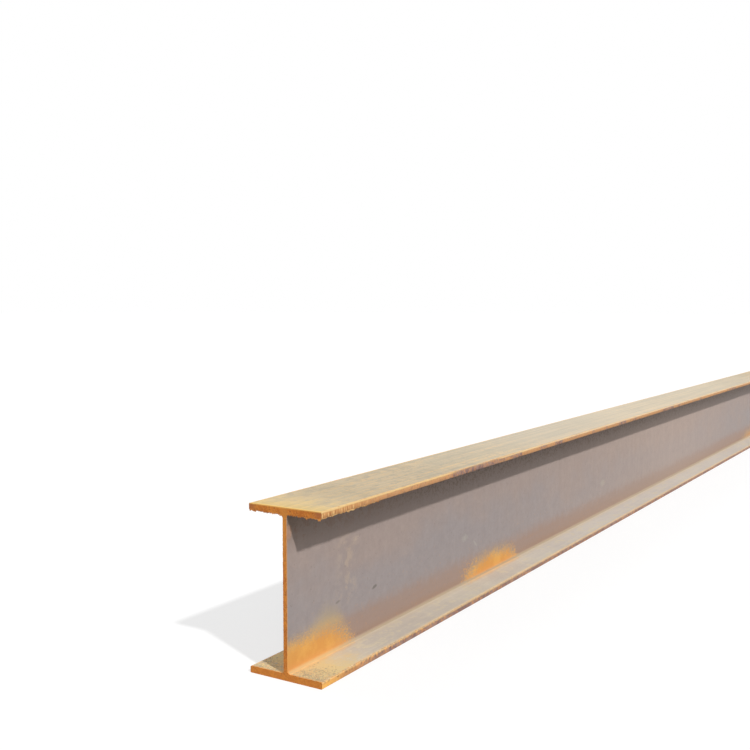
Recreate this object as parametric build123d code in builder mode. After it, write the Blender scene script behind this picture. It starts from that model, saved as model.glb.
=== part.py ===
from build123d import *
import os

# A hot-rolled steel H-beam: one straight length of stock with parallel flanges, sawn square
# at both ends. It is rolled from one bloom, so web and flanges are one solid.
# The beam stands on its bottom flange. X runs along it, Y across the flanges and Z up the web.
# The origin is the middle of the bottom flange's underside.

# Driving sizes of the rolled section, in millimetres
section_depth = 594.0  # over both flanges
flange_width = 302.0  # from toe to toe
web_thickness = 14.0
flange_thickness = 23.0  # even from root to toe, because the flanges are parallel
root_radius = 13.0  # fillet where the web runs into a flange
toe_radius = 3.0  # round that the edging rolls leave on each long edge of a flange

# Length that the mill saws the rolled bar into
stock_length = 9000.0

# Places on one quarter of the section, measured from its centre
half_depth = section_depth / 2
half_width = flange_width / 2
half_web = web_thickness / 2
flange_inner_level = half_depth - flange_thickness

# A toe keeps a flat between its two rounds, however thin the flange is rolled
toe_round = min(toe_radius, 0.45 * flange_thickness)

# The section stands upright on the plane of the sawn end, centred at half its depth
sawn_end = Plane(
    origin=(-stock_length / 2, 0, half_depth),
    x_dir=(0, 1, 0),
    z_dir=(1, 0, 0),
)

with BuildPart() as h_beam:
    with BuildSketch(sawn_end) as section:
        # One quarter of the outline, from the middle of the web to the middle of a flange
        with BuildLine() as outline:
            web_face = Line(
                (half_web, 0),
                (half_web, flange_inner_level - root_radius),
            )
            root_fillet = TangentArc(
                web_face @ 1,
                (half_web + root_radius, flange_inner_level),
                tangent=web_face % 1,
            )
            flange_inner_face = Line(
                root_fillet @ 1,
                (half_width - toe_round, flange_inner_level),
            )
            inner_toe_corner = TangentArc(
                flange_inner_face @ 1,
                (half_width, flange_inner_level + toe_round),
                tangent=flange_inner_face % 1,
            )
            toe_face = Line(
                inner_toe_corner @ 1,
                (half_width, half_depth - toe_round),
            )
            outer_toe_corner = TangentArc(
                toe_face @ 1,
                (half_width - toe_round, half_depth),
                tangent=toe_face % 1,
            )
            flange_outer_face = Line(outer_toe_corner @ 1, (0, half_depth))
            # The section is the same on both sides of its web and above and below its middle
            mirror(about=Plane.YZ)
            mirror(about=Plane.XZ)
        make_face()
    # The rolls give the whole bar this one section, from sawn end to sawn end
    extrude(amount=stock_length)

h_beam.part.label = "h_beam"

os.makedirs("parts", exist_ok=True)
export_step(h_beam.part, "parts/h_beam.step")
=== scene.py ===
import math
import bpy
from mathutils import Matrix, Vector


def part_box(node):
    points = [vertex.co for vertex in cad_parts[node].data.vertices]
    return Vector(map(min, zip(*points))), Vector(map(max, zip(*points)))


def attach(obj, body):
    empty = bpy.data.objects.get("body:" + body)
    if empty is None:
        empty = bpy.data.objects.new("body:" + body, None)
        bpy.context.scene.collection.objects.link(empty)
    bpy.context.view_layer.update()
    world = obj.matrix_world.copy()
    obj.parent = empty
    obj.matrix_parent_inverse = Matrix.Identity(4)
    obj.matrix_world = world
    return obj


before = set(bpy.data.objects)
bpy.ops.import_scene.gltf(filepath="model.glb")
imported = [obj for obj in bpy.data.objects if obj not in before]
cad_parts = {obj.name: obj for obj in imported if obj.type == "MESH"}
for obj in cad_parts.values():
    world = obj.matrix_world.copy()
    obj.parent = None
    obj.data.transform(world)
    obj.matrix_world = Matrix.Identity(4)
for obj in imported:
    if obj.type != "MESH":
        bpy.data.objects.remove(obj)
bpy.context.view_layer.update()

# Steel H-beam as it lies in the yard after rolling and sawing: grey mill scale on the web, dusty
# flange tops, orange rust on the sawn ends, and ragged burrs left by the saw.

# The rolled bar, in metres. X runs along it, Y across the flanges and Z up the web.
bar_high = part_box("h_beam")[1]
half_length = bar_high.x
half_width = bar_high.y
bar_depth = bar_high.z
half_web = 0.007
flange_thickness = 0.023
root_radius = 0.013

# Places on the section. The ledge is the bottom flange's upper face, the soffit faces down to it.
ledge_level = flange_thickness
soffit_level = bar_depth - flange_thickness
root_reach = half_web + root_radius
root_top = ledge_level + root_radius

# Which way the two ends lie along X, and the two sides of the web along Y. The photograph shows
# the near end and the front.
near, far = -1.0, 1.0
front, back = -1.0, 1.0

# How far in from the bar's outermost planes its flange faces and its sawn ends still count
flange_skin = 0.0016
sawn_skin = 0.0003

# The saw's burr stands just inside the cut, so that it stays within the bar's length
burr_thickness = 0.0018
burr_inset = 0.0001
burr_toe_gap = 0.004

# The fringe under the top flange's long edges
fringe_length = 0.36
fringe_cut_gap = 0.0035
fringe_toe_gap = 0.0016
fringe_sunk = 0.0005

# The part of each ledge that loose flakes may lie on
flakes_length = 0.34
flakes_cut_gap = 0.006
flakes_root_gap = 0.005
flakes_toe_gap = 0.008


def tone(red, green, blue):
    """A colour as the eye reads it, on the 0 to 255 scale, turned into the shader's own scale."""
    parts = (red / 255.0, green / 255.0, blue / 255.0)
    return tuple(((part + 0.055) / 1.055) ** 2.4 for part in parts) + (1.0,)


class Sum:
    """One output of a node tree. Arithmetic written on it adds the Math nodes that work it out."""

    def __init__(self, work, socket):
        self.work = work
        self.socket = socket

    def math(self, operation, *terms):
        return self.work.node("ShaderNodeMath", {"operation": operation}, dict(enumerate(terms)))

    def __add__(self, other):
        return self.math("ADD", self, other)

    def __radd__(self, other):
        return self.math("ADD", other, self)

    def __sub__(self, other):
        return self.math("SUBTRACT", self, other)

    def __rsub__(self, other):
        return self.math("SUBTRACT", other, self)

    def __mul__(self, other):
        return self.math("MULTIPLY", self, other)

    def __rmul__(self, other):
        return self.math("MULTIPLY", other, self)

    def __truediv__(self, other):
        return self.math("DIVIDE", self, other)

    def __pow__(self, other):
        return self.math("POWER", self, other)

    def __lt__(self, other):
        return self.math("LESS_THAN", self, other)

    def __gt__(self, other):
        return self.math("GREATER_THAN", self, other)

    def __abs__(self):
        return self.math("ABSOLUTE", self)


class Work:
    """A node tree under construction, for a finish or for a piece that repeats."""

    def __init__(self, tree):
        self.tree = tree

    def node(self, kind, settings=None, inputs=None, output=None):
        """Adds one node: first its settings, then what each input socket holds or is fed."""
        made = self.tree.nodes.new(kind)
        for name, value in (settings or {}).items():
            setattr(made, name, value)
        for name, value in (inputs or {}).items():
            socket = self.socket(made.inputs, name)
            if isinstance(value, Sum):
                self.tree.links.new(value.socket, socket)
            else:
                socket.default_value = value
        if not made.outputs:
            return made
        return Sum(self, self.socket(made.outputs, output))

    @staticmethod
    def socket(sockets, name):
        """A socket by its number, or the first one in use by its name."""
        if isinstance(name, int):
            return sockets[name]
        in_use = [socket for socket in sockets if socket.enabled]
        return next(socket for socket in in_use if name in (None, socket.name))

    def outputs(self, first, *names):
        """The named outputs of the node that one of its outputs came from."""
        sockets = first.socket.node.outputs
        return [Sum(self, self.socket(sockets, name)) for name in names]

    def chance(self, low, high, seed):
        """A random number between low and high, another one for each point."""
        return self.node(
            "FunctionNodeRandomValue",
            {"data_type": "FLOAT"},
            {"Min": low, "Max": high, "Seed": seed},
        )


class Finish(Work):
    """A material's nodes, read in the bar's own coordinates."""

    def __init__(self, name):
        self.material = bpy.data.materials.new(name)
        self.material.use_nodes = True
        super().__init__(self.material.node_tree)
        self.tree.nodes.clear()
        self.place = self.node("ShaderNodeTexCoord", output="Object")
        apart = self.node("ShaderNodeSeparateXYZ", inputs={"Vector": self.place})
        self.x, self.y, self.z = self.outputs(apart, "X", "Y", "Z")

    def stretched(self, along, across, up):
        """The place on the bar, squeezed or stretched so that a pattern runs one way."""
        return self.node(
            "ShaderNodeVectorMath",
            {"operation": "MULTIPLY"},
            {0: self.place, 1: (along, across, up)},
        )

    def clouds(self, size, detail=2.0, rough=0.5, place=None):
        """Noise whose main lumps are about size metres across."""
        return self.node(
            "ShaderNodeTexNoise",
            {"noise_dimensions": "3D"},
            {
                "Vector": place or self.place,
                "Scale": 1.0 / size,
                "Detail": detail,
                "Roughness": rough,
            },
        )

    def ease(self, value, start, end, low=0.0, high=1.0):
        """Goes smoothly from low to high while value goes from start to end."""
        return self.node(
            "ShaderNodeMapRange",
            {"interpolation_type": "SMOOTHSTEP", "clamp": True},
            {"Value": value, "From Min": start, "From Max": end, "To Min": low, "To Max": high},
        )

    def over(self, under, cover, amount):
        """A cover colour laid over another by amount."""
        return self.node(
            "ShaderNodeMix",
            {"data_type": "RGBA", "clamp_factor": True},
            {"Factor": amount, "A": under, "B": cover},
        )

    def dimmed(self, colour, amount):
        """A colour made lighter or darker by a factor."""
        return self.node(
            "ShaderNodeVectorMath",
            {"operation": "SCALE"},
            {0: colour, "Scale": amount},
        )

    def done(self, colour, roughness, height):
        """The steel's surface with its colour, its roughness and its relief in metres."""
        relief = self.node("ShaderNodeBump", {}, {"Strength": 1.0, "Distance": 1.0, "Height": height})
        steel = self.node(
            "ShaderNodeBsdfPrincipled",
            {},
            {"Base Color": colour, "Roughness": roughness, "Metallic": 0.0, "Normal": relief},
        )
        self.node("ShaderNodeOutputMaterial", {}, {"Surface": steel})
        return self.material


class RolledSteel(Finish):
    """Mill scale, dust and rust of a hot-rolled bar that lay in the yard, face by face."""

    def __init__(self):
        super().__init__("weathered_rolled_steel")
        self.from_near_end = self.x + half_length
        self.from_end = half_length - abs(self.x)
        self.from_toe = half_width - abs(self.y)
        self.front = self.y < 0.0
        self.back = 1.0 - self.front
        self.bloomed = 0.0

        # Patterns shared by the faces, from the widest to the finest
        self.patches = self.clouds(0.50, 3.0, 0.55, self.stretched(0.7, 1.0, 1.5))
        self.blots = self.clouds(0.14, 3.0, 0.6)
        self.mottle = self.clouds(0.045, 3.0, 0.6)
        self.knobs = self.clouds(0.014, 3.0, 0.65)
        self.grain = self.clouds(0.012, 4.0, 0.65)
        self.pepper = self.clouds(0.005, 2.0, 0.6)

        # Patterns that run one way: along the rolling, down the faces, or with the saw
        self.drawn = self.clouds(1.0, 3.0, 0.6, self.stretched(0.9, 75.0, 55.0))
        self.washed = self.clouds(1.0, 2.0, 0.55, self.stretched(26.0, 1.0, 1.3))
        self.runs = self.clouds(1.0, 2.0, 0.6, self.stretched(75.0, 60.0, 22.0))
        self.ticks = self.clouds(1.0, 1.0, 0.5, self.stretched(115.0, 60.0, 14.0))
        self.spray = self.clouds(1.0, 3.0, 0.75, self.stretched(85.0, 150.0, 150.0))
        self.saw_lines = self.clouds(1.0, 2.0, 0.5, self.stretched(1.0, 70.0, 420.0))

        # How far a bloom's outline wanders, and how it breaks up, more so away from the ends
        self.ragged = 0.040 * (self.clouds(0.085, 2.0, 0.5, self.stretched(0.6, 1.0, 1.0)) - 0.5)
        blobs = self.clouds(1.0, 2.0, 0.6, self.stretched(42.0, 75.0, 75.0))
        blobs = (blobs - 0.5) * self.ease(self.from_end, 0.5, 1.2, 0.0, 0.8)
        self.broken = self.spray + self.pepper - 1.0 + blobs

    def web(self):
        """Both sides of the web: the scale first, then its marks, then the rust over them."""
        return self.web_blooms(self.web_marks(self.web_scale()))

    def web_scale(self):
        """Grey scale, warmer higher up, brown above the root, and brown rust with painted shade under the
        top flange.
        """
        ease, over = self.ease, self.over
        z, grain, mottle, blots = self.z, self.grain, self.mottle, self.blots
        cool_scale = tone(154, 145, 144)
        warm_scale = tone(162, 146, 139)
        dust_and_sheen_scale = tone(196, 172, 156)
        warmth = ease(z + 0.5 * (self.patches - 0.5) + 0.25 * (blots - 0.5), 0.20, 0.42)
        web = over(cool_scale, warm_scale, warmth)
        # Paler towards the middle of the bar: dust, with a painted sheen of the scale seen at a grazing
        # angle
        web = over(web, dust_and_sheen_scale, ease(self.from_end, 1.2, 4.5, 0.0, 0.38))
        web = self.dimmed(web, (0.94 + 0.12 * self.washed) * (0.78 + 0.22 * (grain + mottle)))

        brown = tone(160, 134, 120)
        root_brown = tone(160, 130, 110)
        dusty_brown = tone(172, 154, 142)
        inward = ease(self.from_end, 2.0, 4.5)
        band = z + 0.05 * (mottle - 0.5) + 0.03 * (self.patches - 0.5) + 0.025 * inward
        band = ease(band, 0.165, 0.085)
        web = over(web, brown, band * (0.65 + 0.4 * self.drawn))
        web = over(web, root_brown, ease(z + 0.03 * (blots - 0.5), 0.065, 0.030) * 0.6)
        web = over(web, dusty_brown, band * inward * 0.4)

        rust_and_painted_shade_under_flange = tone(122, 102, 86)
        dark_speck = tone(84, 68, 56)
        rusty_stain = tone(124, 86, 62)
        # Painted shade with a little brown rust: darker and browner towards the top flange, and faintly
        # so all over
        web = over(web, rust_and_painted_shade_under_flange, ease(z, 0.42, soffit_level, 0.1, 0.85))
        specks = ease(grain + 0.5 * (self.pepper - 0.5), 0.50, 0.59) * ease(z, 0.42, 0.54)
        web = over(web, dark_speck, specks * ease(self.from_end, 0.3, 1.3, 0.2, 0.75))
        stains = ease(mottle + 0.5 * (grain - 0.5), 0.48, 0.60) * ease(z, 0.43, 0.52)
        web = over(web, rusty_stain, stains * ease(self.from_end, 0.9, 0.3, 0.1, 0.35))

        cut_rust = tone(192, 146, 104)
        rust_touch = tone(196, 148, 116)
        rust_prick = tone(186, 138, 100)
        dark_knob = tone(116, 104, 98)
        web = over(web, cut_rust, ease(self.from_end + 0.006 * (grain - 0.5), 0.009, 0.002))
        web = over(web, rust_touch, self.scuff(0.014, 0.506, 0.022, 0.030, 0.0) * 0.4)
        web = over(web, rust_prick, ease(grain, 0.60, 0.70) * ease(z, 0.35, 0.05, 0.08, 0.45))
        return over(web, dark_knob, ease(self.knobs, 0.66, 0.70) * 0.4)

    def web_marks(self, web):
        """Marks on the web's front: a dried run, pale rubbed places and dark scuffs."""
        over = self.over
        dried_run = tone(192, 168, 140)
        warm_rub = tone(190, 170, 148)
        pale_rub = tone(176, 170, 158)
        far_rub = tone(182, 172, 158)
        dark_scuff = tone(104, 96, 90)
        dull_scuff = tone(112, 104, 98)
        web = over(web, dried_run, self.dried_run(centre=0.365, height=0.31) * 0.3)
        web = over(web, warm_rub, self.smudge(centre=0.425, height=0.405, size=0.026) * 0.35)
        web = over(web, pale_rub, self.smudge(centre=1.315, height=0.228, size=0.034) * 0.45)
        web = over(web, pale_rub, self.scuff(1.420, 0.182, 0.026, 0.007, -40.0) * 0.4)
        web = over(web, far_rub, self.smudge(centre=3.130, height=0.200, size=0.045) * 0.5)
        web = over(web, dark_scuff, self.scuff(0.556, 0.191, 0.022, 0.0075, 12.0) * 0.75)
        return over(web, dull_scuff, self.scuff(0.306, 0.195, 0.018, 0.0055, 8.0) * 0.6)

    def web_blooms(self, web):
        """Rust that crept up the web from the channel's floor, on both sides."""
        ease, over, z = self.ease, self.over, self.z
        low_olive = tone(196, 164, 108)
        high_olive = tone(176, 157, 126)
        hump = (self.from_near_end - 0.235) / 0.17
        hump = 0.165 * (1.0 - hump * hump) - (z - ledge_level) + self.ragged + 0.06 * self.broken
        olive = ease(hump, -0.045, 0.050) * self.front * ease(z, 0.09, 0.14)
        web = over(web, over(low_olive, high_olive, ease(z, 0.12, 0.17)), olive * 0.7)

        deep_orange = tone(217, 153, 74)
        bright_orange = tone(228, 171, 86)
        pinkish_orange = tone(226, 156, 92)
        glow = ease(self.blots + 0.3 * (self.spray - 0.5) + 0.15 * (self.runs - 0.5), 0.36, 0.64)
        rust = over(deep_orange, bright_orange, glow)
        rust = over(rust, pinkish_orange, ease(z, 0.06, 0.03, 0.0, 0.5))
        web = self.bloom(web, rust, self.front, 0.03, reach=0.365, rise=0.094, lean=0.12)
        web = self.bloom(web, rust, self.front, 1.595, reach=0.275, rise=0.071, lean=0.02)
        web = self.bloom(web, rust, self.front * 0.4, 7.45, reach=0.50, rise=0.060, lean=0.10)
        web = self.bloom(web, rust, self.front, 8.80, reach=0.32, rise=0.100, lean=0.20)
        web = self.bloom(web, rust, self.back, 0.22, reach=0.28, rise=0.110, lean=-0.10)
        web = self.bloom(web, rust, self.back * 0.9, 2.70, reach=0.32, rise=0.080, lean=0.20)
        web = self.bloom(web, rust, self.back * 0.6, 5.30, reach=0.22, rise=0.050, lean=0.0)
        return self.bloom(web, rust, self.back, 8.60, reach=0.36, rise=0.092, lean=0.15)

    def bloom(self, web, rust, strength, centre, reach, rise, lean):
        """One bloom of rust, with its reach to each side and its rise. Lean makes its far side higher."""
        ease, over = self.ease, self.over
        brown_halo = tone(182, 157, 122)
        dull_rust = tone(196, 152, 104)
        along = (self.from_near_end - centre) / reach
        outline = rise * (1.0 + lean * along - abs(along) ** 4.0)
        depth = outline - (self.z - ledge_level) + self.ragged
        halo = ease(depth + 0.08 * self.broken, -0.050, 0.016) * strength
        web = over(web, brown_halo, halo * 0.75)

        # It breaks up and dulls towards its two sides
        loose = ease(along, -0.45, -1.15, 0.06, 0.45) + ease(along, 0.55, 1.05, 0.0, 0.20)
        core = ease(depth + loose * self.broken, -0.026, 0.036) * strength
        self.bloomed = self.bloomed + core
        return over(web, over(rust, dull_rust, loose * 1.9), core)

    def dried_run(self, centre, height):
        """A pale run where rusty water dried on the web, broken up as it went down."""
        apart = abs(self.from_near_end - centre + 0.06 * (self.blots - 0.5))
        band = self.ease(apart, 0.085, 0.015) * self.ease(abs(self.z - height), 0.17, 0.06)
        return band * self.ease(self.mottle + 0.4 * (self.grain - 0.5), 0.44, 0.62) * self.front

    def smudge(self, centre, height, size):
        """A pale rubbed place on the web, twice as long as it is high."""
        across = (self.from_near_end - centre) / size
        up = (self.z - height) / (0.5 * size)
        inside = 1.0 - across * across - up * up + 3.0 * (self.pepper + self.spray - 1.0)
        return self.ease(inside, 0.0, 1.1) * self.front

    def scuff(self, centre, height, length, width, tilt):
        """A mark from handling, tilted by degrees, length and width being half its own."""
        lean_x = math.cos(math.radians(tilt))
        lean_z = math.sin(math.radians(tilt))
        across = self.from_near_end - centre
        up = self.z - height
        on_line = (across * lean_x + up * lean_z) / length
        off_line = (up * lean_x - across * lean_z) / width
        inside = 1.0 - on_line * on_line - off_line * off_line + 1.5 * (self.pepper - 0.5)
        return self.ease(inside, 0.0, 0.7) * self.front

    def ledge(self):
        """The bottom flange's upper face: pale dust and streaks, yellow and scaly near the cut."""
        ease, over = self.ease, self.over
        drawn, mottle, grain, blots = self.drawn, self.mottle, self.grain, self.blots
        from_web = abs(self.y)
        dull_dust = tone(199, 188, 174)
        light_dust = tone(211, 201, 184)
        inner_dust = tone(216, 210, 204)
        straw_streak = tone(216, 203, 170)
        ledge = over(dull_dust, light_dust, ease(self.patches + 0.3 * (blots - 0.5), 0.36, 0.64))
        ledge = over(ledge, inner_dust, ease(self.from_end, 0.9, 3.0) * 0.55)
        ledge = over(ledge, straw_streak, ease(mottle + 0.4 * (drawn - 0.5), 0.52, 0.64) * 0.45)
        ledge = self.dimmed(ledge, (0.92 + 0.16 * drawn) * (0.82 + 0.18 * (grain + mottle)))

        root_dust = tone(207, 192, 168)
        toe_dust = tone(224, 202, 168)
        near_toe = ease(self.from_toe + 0.012 * (mottle - 0.5), 0.017, 0.006)
        ledge = over(ledge, root_dust, ease(from_web, 0.045, root_reach, 0.0, 0.7))
        ledge = over(ledge, toe_dust, near_toe)

        yellow_scale = tone(230, 203, 144)
        bare_spot = tone(162, 151, 128)
        orange_speck = tone(226, 172, 124)
        yellow = ease(self.from_end + 0.30 * (mottle - 0.5) + 0.14 * (grain - 0.5), 0.34, 0.12)
        ledge = over(ledge, yellow_scale, yellow * 0.9)
        near_cut = ease(self.from_end + 0.10 * (mottle - 0.5), 0.15, 0.03)
        spots = ease(grain + 0.7 * (self.pepper - 0.5) + 0.3 * (mottle - 0.5), 0.47, 0.58) * near_cut
        ledge = over(ledge, bare_spot, spots * ease(from_web, 0.035, 0.075, 0.3, 0.75))
        specks = ease(self.pepper + self.spray, 1.04, 1.16) * near_cut
        ledge = over(ledge, orange_speck, specks * 0.7)

        root_rust = tone(246, 211, 153)
        washed_rust = tone(226, 184, 126)
        fillet_painted_shade = tone(207, 183, 151)
        ledge = over(ledge, root_rust, ease(from_web, 0.027, 0.015) * ease(self.from_end, 0.50, 0.10))
        stained = ease(from_web + 0.04 * (mottle - 0.5), 0.044, 0.010) * ease(self.bloomed, 0.0, 1.0)
        ledge = over(ledge, washed_rust, stained * 0.7)
        # Painted shade on the root fillet: its colour toned down and darkened, since it faces the main
        # lamp more than the ledge does
        in_root = ease(self.z, ledge_level + 0.0001, ledge_level + 0.002)
        ledge = over(ledge, fillet_painted_shade, in_root * ease(self.from_end, 0.25, 0.50, 0.0, 0.8))
        ledge = self.dimmed(ledge, 1.0 - in_root * ease(self.from_end, 0.15, 0.60, 0.17, 0.34))

        pale_edge = tone(240, 214, 172)
        rust_lump = tone(226, 160, 92)
        dark_pit = tone(150, 108, 84)
        cut_rust = tone(228, 156, 76)
        edge = ease(self.from_toe, 0.012, 0.004)
        paled = ease(self.patches + 0.6 * (blots - 0.5), 0.42, 0.52, 0.35, 1.0)
        ledge = over(ledge, pale_edge, edge * paled)
        lumps = ease(self.knobs, 0.50, 0.58) * edge
        ledge = over(ledge, rust_lump, lumps * ease(self.from_end, 1.2, 0.2, 0.15, 0.8))
        pits = ease(self.knobs, 0.46, 0.40) * edge
        ledge = over(ledge, dark_pit, pits * ease(self.from_end, 0.9, 0.2, 0.1, 0.7))
        return over(ledge, cut_rust, ease(self.from_end + 0.010 * (grain - 0.5), 0.011, 0.003))

    def top(self):
        """The top flange's outer face: dust over yellowed scale, streaked along the rolling."""
        ease, over = self.ease, self.over
        drawn, mottle, grain, blots = self.drawn, self.mottle, self.grain, self.blots
        olive_dust = tone(182, 166, 136)
        warm_dust = tone(197, 176, 140)
        ochre_streak = tone(207, 174, 122)
        bare_scale = tone(154, 145, 126)
        top = over(olive_dust, warm_dust, ease(self.patches + 0.6 * (blots - 0.5), 0.40, 0.60))
        top = over(top, ochre_streak, ease(drawn + 0.5 * (mottle - 0.5), 0.50, 0.60) * 0.75)
        bare = ease(mottle + 0.7 * (grain - 0.5), 0.52, 0.58)
        top = over(top, bare_scale, bare * ease(self.from_end, 0.1, 0.8, 0.5, 0.6))

        yellow_scale = tone(222, 190, 120)
        inner_dust = tone(198, 186, 165)
        brown_haze = tone(168, 146, 100)
        top = over(top, yellow_scale, ease(self.from_end + 0.4 * (mottle - 0.5), 0.24, 0.02) * 0.75)
        top = over(top, inner_dust, ease(self.from_end, 1.0, 2.4) * 0.6)
        top = self.dimmed(top, (0.72 + 0.54 * drawn) * (0.76 + 0.24 * (grain + mottle)))
        top = over(top, brown_haze, ease(abs(self.from_end - 0.26), 0.26, 0.10) * 0.2)
        paler = ease(self.from_end, 0.8, 1.2, 0.0, 0.15) + ease(self.from_end, 2.4, 3.4, 0.0, 0.09)
        top = self.dimmed(top, ease(self.from_end, 0.10, 0.35, 1.0, 0.88) + paler)

        pale_edge = tone(232, 192, 124)
        rusty_edge = tone(214, 146, 84)
        cut_rust_and_highlight = tone(236, 196, 112)
        edge = ease(self.from_toe + 0.012 * (mottle - 0.5), 0.011, 0.004)
        top = over(top, pale_edge, edge * 0.9)
        top = over(top, rusty_edge, edge * ease(self.knobs + 0.5 * (blots - 0.5), 0.50, 0.60) * 0.8)
        # Along the sawn end's edge: rust, lightened into a painted highlight of that edge
        return over(top, cut_rust_and_highlight, ease(self.from_end + 0.012 * (grain - 0.5), 0.016, 0.004))

    def toe(self):
        """The flanges' long edges: purple-brown scale with knobs of rust, all rust near the cut."""
        ease, over, knobs = self.ease, self.over, self.knobs
        above = self.z > 0.5 * bar_depth
        near_cut = self.from_end + 0.16 * (self.mottle - 0.5)
        dark_purple = tone(136, 108, 102)
        light_purple = tone(164, 133, 118)
        edge_rust = tone(214, 158, 102)
        rust_knob = tone(214, 150, 92)
        dark_grain = tone(118, 88, 78)
        cut_rust = tone(206, 146, 86)
        toe = over(dark_purple, light_purple, ease(self.mottle, 0.40, 0.60))
        bare = ease(abs(self.from_near_end - 1.15), 0.26, 0.17) * self.front
        patchy = ease(0.5 * (self.patches + self.blots), 0.57, 0.51) + ease(self.from_end, 0.85, 0.60)
        rusted = above * (1.0 - bare) * self.node("ShaderNodeClamp", {}, {"Value": patchy})
        toe = over(toe, edge_rust, rusted * 0.85)
        toe = over(toe, rust_knob, ease(knobs + 0.3 * (self.blots - 0.5), 0.50, 0.60) * 0.65)
        toe = over(toe, dark_grain, ease(self.grain, 0.52, 0.60) * 0.35)
        toe = over(toe, cut_rust, ease(near_cut, 0.42, 0.10) * 0.85)

        # How far below the flange's upper face the place on the toe is
        level = ledge_level + above * (bar_depth - ledge_level) - self.z
        dark_tick = tone(164, 100, 58)
        pale_tick = tone(250, 208, 140)
        corner_rust = tone(246, 184, 92)
        streaks = ease(level, 0.005, 0.012, 0.35, 1.0) * ease(near_cut, 0.42, 0.06)
        streaks = streaks * (0.3 + 0.7 * above)
        toe = over(toe, dark_tick, ease(self.ticks, 0.48, 0.40) * streaks * 0.6)
        corner = ease(self.from_end + 0.10 * (self.grain - 0.5), 0.15, 0.03) * (1.0 - above)
        toe = over(toe, corner_rust, corner)
        toe = over(toe, pale_tick, ease(self.ticks, 0.53, 0.60) * streaks * 0.7)

        crust_high = tone(236, 166, 98)
        crust_deep = tone(128, 84, 66)
        crust = (1.0 - above) * ease(level, 0.014, 0.003) * ease(self.from_end, 1.1, 0.15, 0.1, 0.9)
        toe = over(toe, crust_high, ease(knobs, 0.50, 0.57) * crust)
        toe = over(toe, crust_deep, ease(knobs, 0.47, 0.41) * crust)

        # Painted highlight: a pale line along each toe's upper edge, warmer near the cut
        warm_line = tone(242, 208, 144)
        pale_line = tone(238, 214, 178)
        line = ease(level + 0.006 * (self.mottle - 0.5), 0.0075, 0.0020) * (1.0 - above * bare * 0.8)
        painted_edge_highlight = over(warm_line, pale_line, ease(self.from_end, 0.5, 3.0))
        toe = over(toe, painted_edge_highlight, line * (0.5 + 0.35 * above))
        speckle = 0.84 + 0.16 * (self.grain + self.mottle)
        shade = 1.0 - above * ease(bar_depth - self.z, 0.008, 0.022, 0.0, 0.22)
        return self.dimmed(toe, speckle * shade)

    def sawn_end(self):
        """Raw steel bared by the saw, rusted all over, with the saw's fine lines."""
        ease, over = self.ease, self.over
        mottle, grain = self.mottle, self.grain
        deep_rust = tone(188, 107, 36)
        light_rust = tone(216, 134, 46)
        dark_rust = tone(150, 80, 36)
        rust_grain = tone(232, 160, 66)
        sawn = over(deep_rust, light_rust, ease(mottle + 0.4 * (self.blots - 0.5), 0.38, 0.62))
        sawn = over(sawn, dark_rust, ease(grain + 0.6 * (mottle - 0.5), 0.52, 0.62) * 0.65)
        sawn = over(sawn, rust_grain, ease(self.pepper + 0.5 * (grain - 0.5), 0.54, 0.64) * 0.45)

        upper_web = tone(214, 142, 62)
        bottom_flange = tone(212, 132, 52)
        shaded_toe_corner = tone(160, 96, 58)
        painted_top_highlight = tone(240, 188, 104)
        sawn = over(sawn, upper_web, ease(abs(self.y), 0.024, 0.006) * ease(self.z, 0.30, 0.52) * 0.5)
        sawn = over(sawn, bottom_flange, ease(self.z, 0.030, 0.012) * 0.5)
        # Painted shade: the top flange's sawn end darker towards both toes
        corner = ease(abs(self.y), 0.112, 0.135)
        corner = corner * ease(self.z, soffit_level - 0.002, soffit_level + 0.006)
        sawn = over(sawn, shaded_toe_corner, corner * 0.6)
        # Painted highlight along the top edge of the sawn end
        sawn = over(sawn, painted_top_highlight, ease(bar_depth - self.z, 0.0045, 0.001) * 0.9)
        return self.dimmed(sawn, 0.86 + 0.24 * self.saw_lines)

    def finished(self):
        """Each face takes its own look, in the order in which one runs into the next."""
        ease, over = self.ease, self.over
        on_ledge = ease(self.z, root_top, ledge_level + 0.002)
        on_top = self.z > bar_depth - flange_skin
        on_toe = self.from_toe < flange_skin
        on_cut = self.from_end < sawn_skin
        colour = self.web()
        colour = over(colour, self.ledge(), on_ledge)
        colour = over(colour, self.top(), on_top)
        colour = over(colour, self.toe(), on_toe)
        colour = over(colour, self.sawn_end(), on_cut)
        rust = self.bloomed + on_toe * 0.6 + on_cut + ease(self.from_end, 0.10, 0.02) * 0.5
        roughness = ease(rust, 0.0, 1.0, 0.62, 0.90)
        height = 0.0005 * self.grain + 0.0003 * self.pepper * rust + 0.0012 * self.knobs * on_toe
        height = height + 0.0005 * self.saw_lines * on_cut
        height = height + 0.0006 * self.drawn * (on_ledge + on_top)
        return self.done(colour, roughness, height)


class TornSteel(Finish):
    """Lumpy rust of the thin torn burrs, with pits in it."""

    def __init__(self, name):
        super().__init__(name)
        self.lumps = self.clouds(0.016, 3.0, 0.6)
        self.grain = self.clouds(0.004, 2.0, 0.6)

    def finished(self, dark, light, pits):
        rust = self.over(dark, light, self.ease(self.lumps, 0.38, 0.62))
        rust = self.over(rust, pits, self.ease(self.grain, 0.54, 0.66) * 0.5)
        return self.done(rust, self.ease(self.grain, 0.3, 0.7, 0.78, 0.92), 0.0003 * self.grain)


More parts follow.
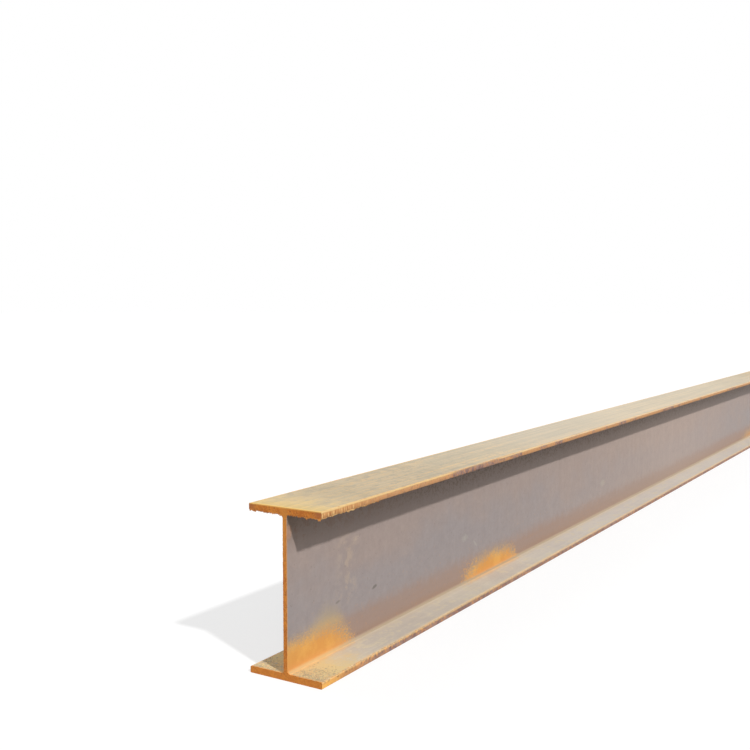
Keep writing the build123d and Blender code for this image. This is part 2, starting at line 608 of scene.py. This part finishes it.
class LooseScale(Finish):
    """Tan-grey flakes of mill scale with a fine grain of rust."""

    def __init__(self):
        super().__init__("loose_mill_scale")
        self.lumps = self.clouds(0.018, 3.0, 0.6)
        self.grain = self.clouds(0.004, 2.0, 0.6)

    def finished(self):
        dark_flake = tone(172, 161, 136)
        light_flake = tone(206, 188, 150)
        rust = tone(216, 174, 112)
        scale = self.over(dark_flake, light_flake, self.ease(self.lumps, 0.40, 0.60))
        scale = self.over(scale, rust, self.ease(self.grain, 0.50, 0.60) * 0.7)
        return self.done(scale, self.ease(self.grain, 0.3, 0.7, 0.55, 0.75), 0.0002 * self.grain)


def named_inputs(tree, inputs, result):
    """Gives a geometry tree its named inputs and its one output."""
    for name, kind in inputs:
        tree.interface.new_socket(name=name, in_out="INPUT", socket_type="NodeSocket" + kind)
    tree.interface.new_socket(name=result, in_out="OUTPUT", socket_type="NodeSocketGeometry")


def flake_works():
    """Thin flakes of mill scale that lie on a face, thickest near the sawn end, as one tree."""
    tree = bpy.data.node_groups.new("scale_flakes", "GeometryNodeTree")
    named_inputs(
        tree,
        (
            ("Face", "Geometry"),
            ("Flakes per area", "Float"),
            ("Smallest", "Float"),
            ("Largest", "Float"),
            ("Thickness", "Float"),
            ("Bar end", "Float"),
            ("Reach", "Float"),
            ("Seed", "Int"),
            ("Scale", "Material"),
        ),
        "Flakes",
    )
    work = Work(tree)
    face = work.node("NodeGroupInput", output="Face")
    crowd, smallest, largest, thickness = work.outputs(
        face, "Flakes per area", "Smallest", "Largest", "Thickness"
    )
    bar_end, reach, seed, scale = work.outputs(face, "Bar end", "Reach", "Seed", "Scale")

    # The face is cut into small cells, since the crowd is worked out at their corners
    cells = work.node("GeometryNodeSubdivideMesh", {}, {"Mesh": face, "Level": 5})
    where = work.node("GeometryNodeInputPosition")
    along = work.node("ShaderNodeSeparateXYZ", {}, {0: where}, "X")
    nearness = work.node(
        "ShaderNodeMapRange",
        {"interpolation_type": "SMOOTHSTEP"},
        {"Value": bar_end - abs(along), "From Min": reach, "From Max": 0.0},
    )
    lumps = work.node(
        "ShaderNodeTexNoise",
        {"noise_dimensions": "3D"},
        {"Vector": where, "Scale": 45.0, "Detail": 2.0},
    )
    lumps = work.node("ShaderNodeMapRange", {}, {"Value": lumps, "From Min": 0.42, "From Max": 0.62})
    points = work.node(
        "GeometryNodeDistributePointsOnFaces",
        {"distribute_method": "RANDOM"},
        {"Mesh": cells, "Density": crowd * nearness * lumps, "Seed": seed},
        "Points",
    )

    # Each flake is a thin seven-sided plate of its own length, breadth, turn and thickness
    length = work.chance(smallest, largest, seed + 1.0)
    slim = work.chance(0.45, 0.9, seed + 2.0)
    angle = work.chance(-0.7, 0.7, seed + 3.0)
    lift = work.chance(0.5, 1.5, seed + 4.0)
    size = work.node(
        "ShaderNodeCombineXYZ", {}, {"X": length, "Y": length * slim, "Z": thickness * lift}
    )
    turn = work.node("ShaderNodeCombineXYZ", {}, {"Z": angle})
    flake = work.node(
        "GeometryNodeMeshCylinder",
        {"fill_type": "NGON"},
        {"Vertices": 7, "Side Segments": 1, "Fill Segments": 1, "Radius": 0.5, "Depth": 1.0},
        "Mesh",
    )
    flakes = work.node(
        "GeometryNodeInstanceOnPoints",
        {},
        {"Points": points, "Instance": flake, "Rotation": turn, "Scale": size},
    )
    flakes = work.node("GeometryNodeRealizeInstances", {}, {"Geometry": flakes})
    crumble = work.node(
        "ShaderNodeTexNoise",
        {"noise_dimensions": "3D"},
        {"Vector": where, "Scale": 260.0},
        "Color",
    )
    crumble = work.node(
        "ShaderNodeVectorMath",
        {"operation": "MULTIPLY_ADD"},
        {0: crumble, 1: (0.006, 0.006, 0.0), 2: (-0.003, -0.003, 0.0)},
    )
    flakes = work.node("GeometryNodeSetPosition", {}, {"Geometry": flakes, "Offset": crumble})
    flakes = work.node("GeometryNodeSetMaterial", {}, {"Geometry": flakes, "Material": scale})
    work.node("NodeGroupOutput", {}, {"Flakes": flakes})
    return tree


def burr_works():
    """Drops of steel that the saw tore over an edge, side by side along a line, as one tree."""
    tree = bpy.data.node_groups.new("torn_burr", "GeometryNodeTree")
    named_inputs(
        tree,
        (
            ("Edge", "Geometry"),
            ("Spacing", "Float"),
            ("Width", "Float"),
            ("Thickness", "Float"),
            ("Standing", "Float"),
            ("Hanging", "Float"),
            ("Cut direction", "Vector"),
            ("Seed", "Int"),
            ("Steel", "Material"),
        ),
        "Burr",
    )
    work = Work(tree)
    edge = work.node("NodeGroupInput", output="Edge")
    spacing, width, thickness, standing = work.outputs(
        edge, "Spacing", "Width", "Thickness", "Standing"
    )
    hanging, cut, seed, steel = work.outputs(edge, "Hanging", "Cut direction", "Seed", "Steel")
    line = work.node("GeometryNodeMeshToCurve", {}, {"Mesh": edge})
    line = work.node("GeometryNodeResampleCurve", {"mode": "LENGTH"}, {"Curve": line, "Length": spacing})

    # A drop points off the edge, and hangs longer the more it points down
    tangent = work.node("GeometryNodeInputTangent")
    off_edge = work.node("ShaderNodeVectorMath", {"operation": "CROSS_PRODUCT"}, {0: tangent, 1: cut})
    upward = work.node("ShaderNodeSeparateXYZ", {}, {0: off_edge}, "Z")
    hang = work.node("ShaderNodeClamp", {}, {"Value": 0.0 - upward})
    where = work.node("GeometryNodeInputPosition")
    lumps = work.node(
        "ShaderNodeTexNoise",
        {"noise_dimensions": "4D"},
        {"Vector": where, "W": seed * 7.3, "Scale": 55.0, "Detail": 3.0, "Roughness": 0.6},
    )
    lumps = work.node("ShaderNodeMapRange", {}, {"Value": lumps, "From Min": 0.36, "From Max": 0.64})
    luck = work.chance(0.25, 1.1, seed)
    length = (standing + (hanging - standing) * hang) * luck * (0.15 + lumps)
    broad = work.chance(0.6, 1.3, seed + 1.0)
    size = work.node("ShaderNodeCombineXYZ", {}, {"X": thickness, "Y": width * broad, "Z": length})
    turn = work.node(
        "FunctionNodeAlignRotationToVector", {"axis": "Z", "pivot_axis": "AUTO"}, {"Vector": off_edge}
    )
    turn = work.node(
        "FunctionNodeAlignRotationToVector",
        {"axis": "X", "pivot_axis": "Z"},
        {"Rotation": turn, "Vector": cut},
    )

    # The drop is a small ball drawn out to a blunt tip, sunk a little into the edge
    drop = work.node("GeometryNodeMeshUVSphere", {}, {"Segments": 6, "Rings": 5, "Radius": 0.5}, "Mesh")
    drop = work.node("GeometryNodeTransform", {}, {"Geometry": drop, "Translation": (0.0, 0.0, 0.3)})
    outward = work.node("ShaderNodeSeparateXYZ", {}, {0: where}, "Z")
    narrow = work.node(
        "ShaderNodeMapRange", {}, {"Value": outward, "From Min": 0.1, "To Min": 1.0, "To Max": 0.35}
    )
    narrow = work.node("ShaderNodeCombineXYZ", {}, {"X": narrow, "Y": narrow, "Z": 1.0})
    pointed = work.node("ShaderNodeVectorMath", {"operation": "MULTIPLY"}, {0: where, 1: narrow})
    drop = work.node("GeometryNodeSetPosition", {}, {"Geometry": drop, "Position": pointed})
    drops = work.node(
        "GeometryNodeInstanceOnPoints",
        {},
        {"Points": line, "Instance": drop, "Rotation": turn, "Scale": size},
    )
    drops = work.node("GeometryNodeRealizeInstances", {}, {"Geometry": drops})
    drops = work.node("GeometryNodeSetMaterial", {}, {"Geometry": drops, "Material": steel})
    work.node("NodeGroupOutput", {}, {"Burr": drops})
    return tree


def edge_guide(name, lines):
    """A guide mesh of bare edges along lines of points."""
    points = []
    edges = []
    for line in lines:
        first = len(points)
        points += line
        edges += [(first + step, first + step + 1) for step in range(len(line) - 1)]
    guide = bpy.data.meshes.new(name + "_guide")
    guide.from_pydata(points, edges, [])
    return guide


def face_guide(name, faces):
    """A guide mesh of four-cornered faces, each from its own corners."""
    points = [corner for face in faces for corner in face]
    corners = [tuple(range(4 * count, 4 * count + 4)) for count in range(len(faces))]
    guide = bpy.data.meshes.new(name + "_guide")
    guide.from_pydata(points, [], corners)
    return guide


def grown(name, guide, tree, sizes):
    """Runs a tree on a guide and keeps what it makes as a plain mesh that rides on the bar."""
    holder = bpy.data.objects.new(name + "_guide", guide)
    bpy.context.scene.collection.objects.link(holder)
    grower = holder.modifiers.new("grow", "NODES")
    grower.node_group = tree
    sockets = [item for item in tree.interface.items_tree if item.in_out == "INPUT"]
    identifiers = {socket.name: socket.identifier for socket in sockets}
    for size, value in sizes.items():
        grower[identifiers[size]] = value
    bpy.context.view_layer.update()
    finished = holder.evaluated_get(bpy.context.evaluated_depsgraph_get())
    mesh = bpy.data.meshes.new_from_object(finished)
    bpy.data.objects.remove(holder)
    mesh.name = name
    piece = bpy.data.objects.new(name, mesh)
    bpy.context.scene.collection.objects.link(piece)
    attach(piece, "root")


def channel_line(cut_x, side):
    """The sawn edge of one channel: along the soffit, down the web and out along the ledge."""
    quarter = [math.radians(15 * step) for step in range(7)]
    soffit_root = [
        (root_reach - root_radius * math.sin(turn), soffit_level - root_radius * (1 - math.cos(turn)))
        for turn in quarter
    ]
    ledge_root = [(across, bar_depth - up) for across, up in reversed(soffit_root)]
    toe = half_width - burr_toe_gap
    outline = [(toe, soffit_level)] + soffit_root + ledge_root + [(toe, ledge_level)]
    line = [(cut_x, side * across, up) for across, up in outline]
    return line if side == front else line[::-1]


def toe_line(end, side):
    """The lower edge of the top flange's toe, from the saw cut inwards."""
    across = side * (half_width - fringe_toe_gap)
    up = soffit_level + fringe_sunk
    line = [(end * (half_length - gap), across, up) for gap in (fringe_cut_gap, fringe_length)]
    return line if end == near else line[::-1]


def ledge_patch(end, side):
    """The part of a ledge near a sawn end where loose flakes lie."""
    cut = end * (half_length - flakes_cut_gap)
    inside = end * (half_length - flakes_length)
    root = side * (root_reach + flakes_root_gap)
    toe = side * (half_width - flakes_toe_gap)
    corners = [(cut, root), (cut, toe), (inside, toe), (inside, root)]
    corners = [(along, across, ledge_level) for along, across in corners]
    return corners if end * side > 0.0 else corners[::-1]


def grow_saw_burr(name, end, seed):
    """The burr that the saw left round both channels of one sawn end."""
    cut_x = end * (half_length - 0.5 * burr_thickness - burr_inset)
    grown(
        name,
        edge_guide(name, [channel_line(cut_x, front), channel_line(cut_x, back)]),
        torn_burr,
        {
            "Spacing": 0.0024,
            "Width": 0.0052,
            "Thickness": burr_thickness,
            "Standing": 0.0022,
            "Hanging": 0.0110,
            "Cut direction": (1.0, 0.0, 0.0),
            "Seed": seed,
            "Steel": rusted_burr,
        },
    )


def grow_toe_fringe(name, end, seed):
    """The ragged fringe under both toes of the top flange, next to one sawn end."""
    grown(
        name,
        edge_guide(name, [toe_line(end, front), toe_line(end, back)]),
        torn_burr,
        {
            "Spacing": 0.0044,
            "Width": 0.0060,
            "Thickness": 0.0028,
            "Standing": 0.0020,
            "Hanging": 0.0085,
            "Cut direction": (0.0, -1.0, 0.0),
            "Seed": seed,
            "Steel": dusty_burr,
        },
    )


def grow_scale_flakes(name, end, seed):
    """Loose flakes on the ledges of both channels, next to one sawn end."""
    grown(
        name,
        face_guide(name, [ledge_patch(end, front), ledge_patch(end, back)]),
        scale_flakes,
        {
            "Flakes per area": 50000.0,
            "Smallest": 0.003,
            "Largest": 0.009,
            "Thickness": 0.0008,
            "Bar end": half_length,
            "Reach": 0.17,
            "Seed": seed,
            "Scale": loose_scale,
        },
    )


def seen_by_eye(work):
    """1 for a ray that ends in the camera straight, by a reflection or through glass."""
    straight = work.node("ShaderNodeLightPath", output="Is Camera Ray")
    glossy, through = work.outputs(straight, "Is Glossy Ray", "Is Transmission Ray")
    return straight.math("MAXIMUM", straight.math("MAXIMUM", straight, glossy), through)


def lay_floor():
    """A pale studio floor. The camera sees it nearly white, with the beam's soft shadow on it."""
    mesh = bpy.data.meshes.new("studio_floor")
    reach = 120.0
    corners = [(-reach, -reach, 0.0), (reach, -reach, 0.0), (reach, reach, 0.0), (-reach, reach, 0.0)]
    mesh.from_pydata(corners, [], [(0, 1, 2, 3)])
    floor = bpy.data.objects.new("studio_floor", mesh)
    bpy.context.scene.collection.objects.link(floor)
    material = bpy.data.materials.new("studio_floor")
    material.use_nodes = True
    paint = Work(material.node_tree)
    paint.tree.nodes.clear()
    dull_grey = (0.46, 0.46, 0.46, 1.0)
    white = (1.0, 1.0, 1.0, 1.0)
    dull = paint.node("ShaderNodeBsdfDiffuse", {}, {"Color": dull_grey})
    pale = paint.node("ShaderNodeBsdfDiffuse", {}, {"Color": white})
    glow = paint.node("ShaderNodeEmission", {}, {"Color": white, "Strength": 1.05})
    bright = paint.node("ShaderNodeMixShader", {}, {0: 0.6, 1: pale, 2: glow})
    both = paint.node("ShaderNodeMixShader", {}, {0: seen_by_eye(paint), 1: dull, 2: bright})
    paint.node("ShaderNodeOutputMaterial", {}, {"Surface": both})
    mesh.materials.append(material)


def light_studio():
    """White walls all round, and three lamps whose light comes from far away."""
    world = bpy.data.worlds.new("studio_walls")
    world.use_nodes = True
    walls = Work(world.node_tree)
    walls.tree.nodes.clear()
    white = (1.0, 1.0, 1.0, 1.0)
    ambient = walls.node("ShaderNodeBackground", {}, {"Color": white, "Strength": 0.29})
    seen = walls.node("ShaderNodeBackground", {}, {"Color": white, "Strength": 1.0})
    both = walls.node("ShaderNodeMixShader", {}, {0: seen_by_eye(walls), 1: ambient, 2: seen})
    walls.node("ShaderNodeOutputWorld", {}, {"Surface": both})
    bpy.context.scene.world = world
    hang_lamp("main_lamp", heading=(0.299, 0.683, -0.666), strength=2.55, spread=2.5)
    hang_lamp("end_fill", heading=(0.90, 0.15, -0.35), strength=0.80, spread=80.0)
    hang_lamp("back_fill", heading=(-0.45, -0.80, -0.35), strength=0.90, spread=80.0)


def hang_lamp(name, heading, strength, spread):
    """A lamp that shines along its heading. A wider spread, in degrees, softens its shadows."""
    lamp = bpy.data.lights.new(name, "SUN")
    lamp.energy = strength
    lamp.angle = math.radians(spread)
    holder = bpy.data.objects.new(name, lamp)
    holder.rotation_euler = Vector(heading).to_track_quat("-Z", "Y").to_euler()
    bpy.context.scene.collection.objects.link(holder)


def set_camera():
    """Stands where the photograph was taken: off the near end, looking along the web."""
    camera = bpy.data.objects.new("camera", bpy.data.cameras.new("camera"))
    camera.data.sensor_width = 36.0
    camera.data.lens = 47.99
    camera.data.clip_end = 500.0
    yaw = math.radians(32.140)
    pitch = math.radians(-4.017)
    roll = math.radians(-0.062)
    stand = Matrix.Translation((-7.1350, -2.0148, 1.2694))
    turn = Matrix.Rotation(yaw - math.pi / 2, 4, "Z") @ Matrix.Rotation(math.pi / 2 + pitch, 4, "X")
    camera.matrix_world = stand @ turn @ Matrix.Rotation(roll, 4, "Z")
    bpy.context.scene.collection.objects.link(camera)
    bpy.context.scene.camera = camera


set_camera()
light_studio()
lay_floor()

rolled_steel = RolledSteel().finished()
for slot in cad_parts["h_beam"].material_slots:
    slot.material = rolled_steel

rusted_burr = TornSteel("rusted_burr").finished(
    dark=tone(176, 104, 46), light=tone(224, 150, 72), pits=tone(146, 84, 44)
)
dusty_burr = TornSteel("dusty_burr").finished(
    dark=tone(188, 130, 74), light=tone(240, 198, 132), pits=tone(160, 98, 54)
)
loose_scale = LooseScale().finished()

torn_burr = burr_works()
scale_flakes = flake_works()
grow_saw_burr("saw_burr_near", near, seed=3)
grow_saw_burr("saw_burr_far", far, seed=8)
grow_toe_fringe("toe_fringe_near", near, seed=5)
grow_toe_fringe("toe_fringe_far", far, seed=12)
grow_scale_flakes("scale_flakes_near", near, seed=21)
grow_scale_flakes("scale_flakes_far", far, seed=34)

bpy.context.scene.view_settings.view_transform = "Standard"
